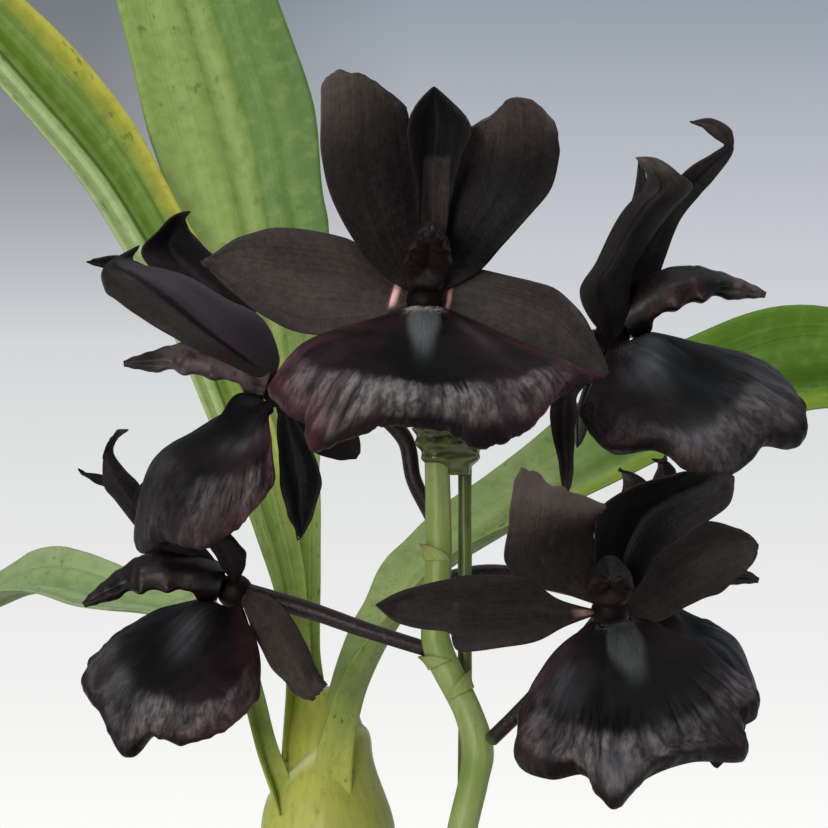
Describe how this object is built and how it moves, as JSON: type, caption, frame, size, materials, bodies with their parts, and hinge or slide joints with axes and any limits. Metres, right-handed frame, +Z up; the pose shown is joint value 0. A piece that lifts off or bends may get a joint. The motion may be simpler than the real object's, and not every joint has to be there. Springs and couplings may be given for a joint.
{
  "type": "potted orchid",
  "caption": "Orchid with near-black shell-lipped flowers on a staked arching spike, pleated strap leaves and swollen stems, in a round clay pot filled with bark.",
  "frame": {"origin": "centre of the pot's flat foot", "axes": "+Z up; the flower head faces -Y, with its side flowers towards -X and +X"},
  "size_m": [0.2893, 0.2275, 0.4553],
  "materials": {
    "clay": "unglazed terracotta",
    "bark": "rough bark",
    "growth": "satin plant skin",
    "old_growth": "dull, wrinkled",
    "leaf": "satin, pleated",
    "spike": "satin",
    "stake": "satin",
    "clip": "clear, glossy",
    "tepal": "velvety sheen",
    "lip": "glossy, finely wrinkled",
    "column": "satin",
    "stalk": "satin"
  },
  "bodies": {
    "root": {"pot": "clay", "bark": "bark", "leafy_bulb": "growth", "back_bulb_left": "old_growth", "back_bulb_right": "old_growth", "flower_spike": "spike", "stake": "stake", "clip": "clip", "leaf_tall": "leaf", "leaf_left": "leaf", "leaf_right": "leaf", "leaf_low_left": "leaf", "leaf_low_right": "leaf", "leaf_low_back": "leaf", "flower_top_tepals": "tepal", "flower_top_lip": "lip", "flower_top_column": "column", "flower_top_stalk": "stalk", "flower_upper_left_tepals": "tepal", "flower_upper_left_lip": "lip", "flower_upper_left_column": "column", "flower_upper_left_stalk": "stalk", "flower_upper_right_tepals": "tepal", "flower_upper_right_lip": "lip", "flower_upper_right_column": "column", "flower_upper_right_stalk": "stalk", "flower_lower_left_tepals": "tepal", "flower_lower_left_lip": "lip", "flower_lower_left_column": "column", "flower_lower_left_stalk": "stalk", "flower_lower_right_tepals": "tepal", "flower_lower_right_lip": "lip", "flower_lower_right_column": "column", "flower_lower_right_stalk": "stalk", "flower_back_right_tepals": "tepal", "flower_back_right_lip": "lip", "flower_back_right_column": "column", "flower_back_right_stalk": "stalk"}
  },
  "joints": []
}
